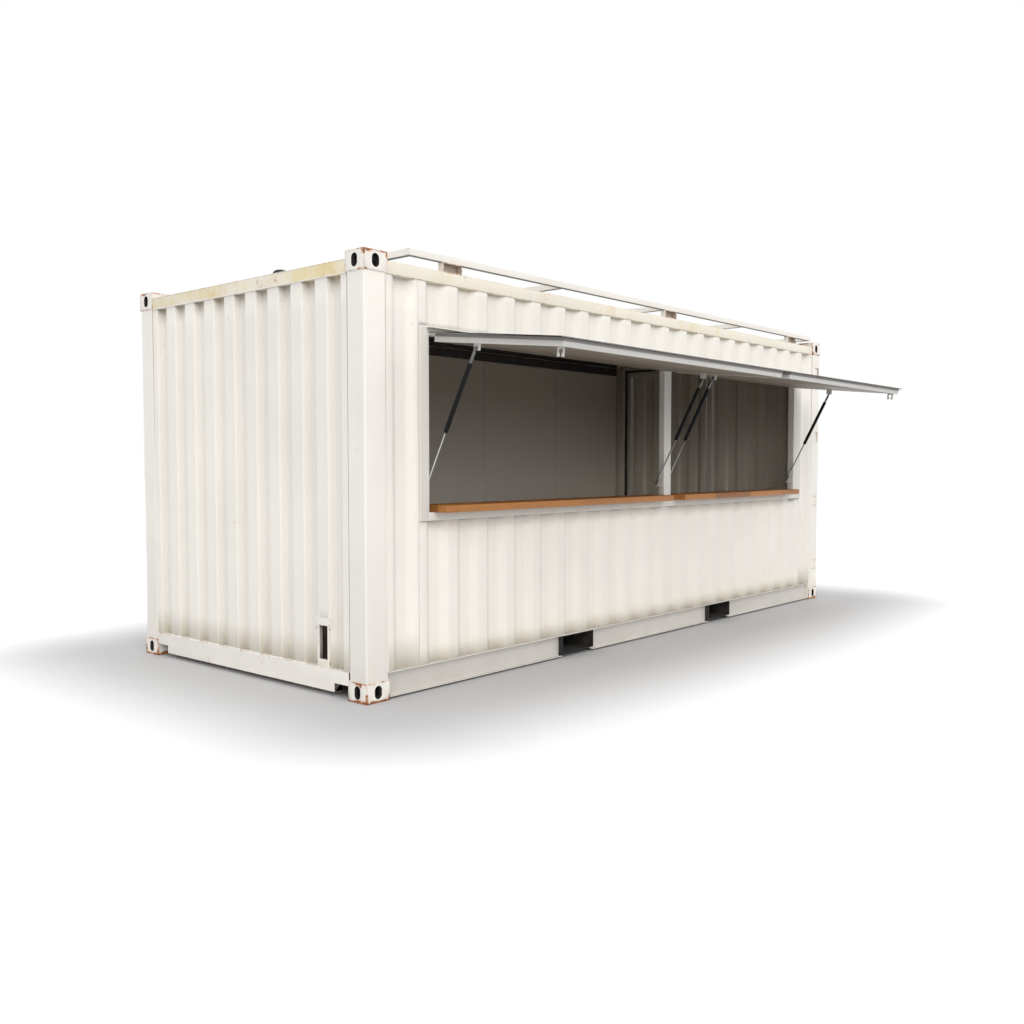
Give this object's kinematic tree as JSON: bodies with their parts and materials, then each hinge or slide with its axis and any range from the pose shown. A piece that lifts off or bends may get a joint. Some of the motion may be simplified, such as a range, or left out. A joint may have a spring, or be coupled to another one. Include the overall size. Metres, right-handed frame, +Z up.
{
  "type": "container bar",
  "caption": "Steel freight container made into a bar, with two top-hinged serving hatches on gas struts, a hardwood counter, cargo doors and a tube frame on the roof.",
  "frame": {"origin": "centre of the footprint on the ground", "axes": "+X along the length from the blind end to the cargo doors, +Z up, the serving side faces -Y"},
  "size_m": [6.058, 3.4742, 2.662],
  "materials": {
    "white_paint": "satin, weathered",
    "galvanised_steel": "dull zinc",
    "hardwood": "oiled",
    "floor_plywood": "worn",
    "black_barrel": "satin black",
    "bright_rod": "polished",
    "dark_plastic": "matte"
  },
  "bodies": {
    "root": {"back_bottom_rail": "white_paint", "back_top_rail": "white_paint", "back_wall": "white_paint", "blind_end_posts": "white_paint", "bottom_corner_castings": "white_paint", "counter_left": "hardwood", "counter_right": "hardwood", "cross_members_blind_end": "white_paint", "cross_members_door_end": "white_paint", "cross_members_middle": "white_paint", "door_end_posts": "white_paint", "door_header": "white_paint", "door_hinge_lugs": "galvanised_steel", "door_sill": "white_paint", "end_sill": "white_paint", "end_top_rail": "white_paint", "end_wall": "white_paint", "floor": "floor_plywood", "fork_pockets": "white_paint", "hatch_head": "white_paint", "hatch_hinges": "galvanised_steel", "hatch_jambs": "white_paint", "hatch_mullion": "white_paint", "hatch_sill": "white_paint", "roof_end_plates": "white_paint", "roof_frame": "white_paint", "roof_frame_brackets": "white_paint", "roof_panel": "white_paint", "roof_vent": "dark_plastic", "service_bottom_rail": "white_paint", "service_top_rail": "white_paint", "service_wall_above": "white_paint", "service_wall_below": "white_paint", "service_wall_ends": "white_paint", "strut_brackets": "galvanised_steel", "top_corner_castings": "white_paint", "vent_plate": "white_paint"},
    "left_hatch": {"left_hatch_frame": "white_paint", "left_hatch_skin": "white_paint"},
    "right_hatch": {"right_hatch_frame": "white_paint", "right_hatch_skin": "white_paint"},
    "service_door": {"service_door_leaf": "white_paint", "service_door_lock_bars": "galvanised_steel"},
    "back_door": {"back_door_leaf": "white_paint", "back_door_lock_bars": "galvanised_steel"},
    "left_hatch_left_strut_barrel": {"left_hatch_left_strut_barrel": "black_barrel"},
    "left_hatch_left_strut_rod": {"left_hatch_left_strut_rod": "bright_rod"},
    "left_hatch_right_strut_barrel": {"left_hatch_right_strut_barrel": "black_barrel"},
    "left_hatch_right_strut_rod": {"left_hatch_right_strut_rod": "bright_rod"},
    "right_hatch_left_strut_barrel": {"right_hatch_left_strut_barrel": "black_barrel"},
    "right_hatch_left_strut_rod": {"right_hatch_left_strut_rod": "bright_rod"},
    "right_hatch_right_strut_barrel": {"right_hatch_right_strut_barrel": "black_barrel"},
    "right_hatch_right_strut_rod": {"right_hatch_right_strut_rod": "bright_rod"}
  },
  "joints": [
    {"name": "left_hatch_hinge", "type": "hinge", "parent": "root", "child": "left_hatch", "pos_m": [-1.2125, -1.238, 2.165], "axis": [1, 0, 0], "range_deg": [0, 84]},
    {"name": "left_hatch_left_strut_pivot", "type": "hinge", "parent": "left_hatch", "child": "left_hatch_left_strut_barrel", "pos_m": [-2.505, -1.58767, 2.04781], "axis": [1, 0, 0], "range_deg": [-112.15, 0.5]},
    {"name": "left_hatch_left_strut_slide", "type": "slide", "parent": "left_hatch_left_strut_barrel", "child": "left_hatch_left_strut_rod", "axis": [0, 0.4564, -0.8898], "range_m": [-0.3474, 0.002]},
    {"name": "left_hatch_right_strut_pivot", "type": "hinge", "parent": "left_hatch", "child": "left_hatch_right_strut_barrel", "pos_m": [0.08, -1.58767, 2.04781], "axis": [1, 0, 0], "range_deg": [-112.15, 0.5]},
    {"name": "left_hatch_right_strut_slide", "type": "slide", "parent": "left_hatch_right_strut_barrel", "child": "left_hatch_right_strut_rod", "axis": [0, 0.4564, -0.8898], "range_m": [-0.3474, 0.002]},
    {"name": "right_hatch_hinge", "type": "hinge", "parent": "root", "child": "right_hatch", "pos_m": [1.3225, -1.238, 2.165], "axis": [1, 0, 0], "range_deg": [0, 84]},
    {"name": "right_hatch_left_strut_pivot", "type": "hinge", "parent": "right_hatch", "child": "right_hatch_left_strut_barrel", "pos_m": [0.22, -1.58767, 2.04781], "axis": [1, 0, 0], "range_deg": [-112.15, 0.5]},
    {"name": "right_hatch_left_strut_slide", "type": "slide", "parent": "right_hatch_left_strut_barrel", "child": "right_hatch_left_strut_rod", "axis": [0, 0.4564, -0.8898], "range_m": [-0.3474, 0.002]},
    {"name": "right_hatch_right_strut_pivot", "type": "hinge", "parent": "right_hatch", "child": "right_hatch_right_strut_barrel", "pos_m": [2.425, -1.58767, 2.04781], "axis": [1, 0, 0], "range_deg": [-112.15, 0.5]},
    {"name": "right_hatch_right_strut_slide", "type": "slide", "parent": "right_hatch_right_strut_barrel", "child": "right_hatch_right_strut_rod", "axis": [0, 0.4564, -0.8898], "range_m": [-0.3474, 0.002]},
    {"name": "service_door_hinge", "type": "hinge", "parent": "root", "child": "service_door", "pos_m": [3.014, -1.204, 1.3125], "axis": [0, 0, -1], "range_deg": [0, 180]},
    {"name": "back_door_hinge", "type": "hinge", "parent": "root", "child": "back_door", "pos_m": [3.014, 1.204, 1.3125], "axis": [0, 0, 1], "range_deg": [0, 270]}
  ],
  "couplings": [
    {"joint": "left_hatch_left_strut_pivot", "follows": "left_hatch_hinge", "ratio": -1.3291},
    {"joint": "left_hatch_left_strut_slide", "follows": "left_hatch_hinge", "m_per_rad": -0.23557},
    {"joint": "left_hatch_right_strut_pivot", "follows": "left_hatch_hinge", "ratio": -1.3291},
    {"joint": "left_hatch_right_strut_slide", "follows": "left_hatch_hinge", "m_per_rad": -0.23557},
    {"joint": "right_hatch_left_strut_pivot", "follows": "right_hatch_hinge", "ratio": -1.3291},
    {"joint": "right_hatch_left_strut_slide", "follows": "right_hatch_hinge", "m_per_rad": -0.23557},
    {"joint": "right_hatch_right_strut_pivot", "follows": "right_hatch_hinge", "ratio": -1.3291},
    {"joint": "right_hatch_right_strut_slide", "follows": "right_hatch_hinge", "m_per_rad": -0.23557}
  ]
}
